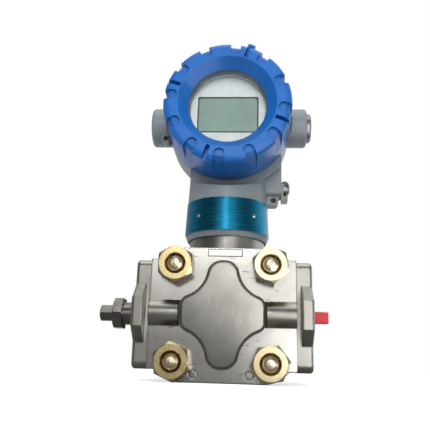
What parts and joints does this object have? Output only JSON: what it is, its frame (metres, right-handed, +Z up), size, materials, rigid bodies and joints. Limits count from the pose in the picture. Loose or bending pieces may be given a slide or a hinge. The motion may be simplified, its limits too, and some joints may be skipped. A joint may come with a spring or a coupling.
{
  "type": "differential pressure transmitter",
  "caption": "Differential pressure transmitter with a round electronics housing and fluted window cap on a neck, over two bolted steel process heads with side vents.",
  "frame": {"origin": "on the neck axis, at the flat underside of the two process heads, midway between their bracket holes", "axes": "+Z up along the neck, +X to the right of someone who faces the display, +Y away from the display"},
  "size_m": [0.1337, 0.0982, 0.2103],
  "materials": {
    "cast_steel": "blasted stainless steel casting, satin",
    "machined_steel": "turned stainless steel",
    "foil_steel": "bright rolled foil",
    "white_gasket": "pressed fluoropolymer",
    "yellow_zinc": "yellow passivated zinc plating",
    "red_plastic": "moulded polyethylene",
    "grey_paint": "semi-gloss powder coat",
    "blue_paint": "semi-gloss powder coat",
    "window": "clear float glass",
    "black_rubber": "nitrile seal",
    "retainer_ring": "blasted aluminium ring",
    "faceplate": "printed plastic sheet, pale grey",
    "display_glass": "grey-green display panel",
    "board": "solder mask over laminate",
    "potting": "moulded electronics cover",
    "terminal_plastic": "moulded terminal block",
    "plated_screw": "nickel plated or stainless fasteners",
    "blue_plate": "blue anodised brushed aluminium"
  },
  "bodies": {
    "wet_end": {"process_head_front": "cast_steel", "process_head_rear": "cast_steel", "meter_body": "machined_steel", "sensor_header": "machined_steel", "neck_seal": "black_rubber", "diaphragm_front": "foil_steel", "diaphragm_rear": "foil_steel", "head_gasket_front": "white_gasket", "head_gasket_rear": "white_gasket", "head_bolts": "yellow_zinc", "head_nuts": "yellow_zinc", "vent_body_front": "machined_steel", "vent_body_rear": "machined_steel"},
    "housing": {"electronics_housing": "grey_paint", "display_bezel": "faceplate", "lcd_panel": "display_glass", "display_board": "board", "display_standoffs": "plated_screw", "electronics_module": "potting", "terminal_block": "terminal_plastic", "terminal_screws": "plated_screw", "conduit_plug": "plated_screw", "nameplate": "blue_plate", "nameplate_rivets": "plated_screw", "ground_clamp": "plated_screw", "ground_screw": "plated_screw", "cap_lock_screw_front": "plated_screw", "cap_lock_screw_rear": "plated_screw", "neck_lock_screw": "plated_screw"},
    "front_seal": {"front_cap_seal": "black_rubber"},
    "front_cap": {"front_cap": "blue_paint", "window_glass": "window", "window_retainer": "retainer_ring"},
    "rear_seal": {"rear_cap_seal": "black_rubber"},
    "rear_cap": {"rear_cap": "blue_paint"},
    "vent_stem_front": {"vent_stem_front": "machined_steel"},
    "vent_stem_rear": {"vent_stem_rear": "machined_steel"},
    "port_plug_front": {"port_plug_front": "red_plastic"},
    "port_plug_rear": {"port_plug_rear": "red_plastic"}
  },
  "joints": [
    {"name": "housing_swivel", "type": "hinge", "parent": "wet_end", "child": "housing", "pos_m": [0, 0, 0.095], "axis": [0, 0, 1], "range_deg": [-180, 180]},
    {"name": "front_cap_travel", "type": "slide", "parent": "housing", "child": "front_seal", "axis": [0, -1, 0], "range_m": [0, 0.0045]},
    {"name": "front_cap_turn", "type": "hinge", "parent": "front_seal", "child": "front_cap", "pos_m": [0, -0.03, 0.168], "axis": [0, -1, 0], "range_deg": [0, 1080]},
    {"name": "rear_cap_travel", "type": "slide", "parent": "housing", "child": "rear_seal", "axis": [0, 1, 0], "range_m": [0, 0.0045]},
    {"name": "rear_cap_turn", "type": "hinge", "parent": "rear_seal", "child": "rear_cap", "pos_m": [0, 0.024, 0.168], "axis": [0, 1, 0], "range_deg": [0, 1080]},
    {"name": "vent_front_turn", "type": "hinge", "parent": "wet_end", "child": "vent_stem_front", "pos_m": [-0.06, -0.027, 0.038], "axis": [-1, 0, 0], "range_deg": [0, 360]},
    {"name": "vent_rear_turn", "type": "hinge", "parent": "wet_end", "child": "vent_stem_rear", "pos_m": [-0.06, 0.027, 0.038], "axis": [-1, 0, 0], "range_deg": [0, 360]},
    {"name": "front_plug_pull", "type": "slide", "parent": "wet_end", "child": "port_plug_front", "axis": [1, 0, 0], "range_m": [0, 0.012]},
    {"name": "rear_plug_pull", "type": "slide", "parent": "wet_end", "child": "port_plug_rear", "axis": [1, 0, 0], "range_m": [0, 0.012]}
  ],
  "couplings": [
    {"joint": "front_cap_travel", "follows": "front_cap_turn", "m_per_rad": 0.00023873},
    {"joint": "rear_cap_travel", "follows": "rear_cap_turn", "m_per_rad": 0.00023873}
  ]
}
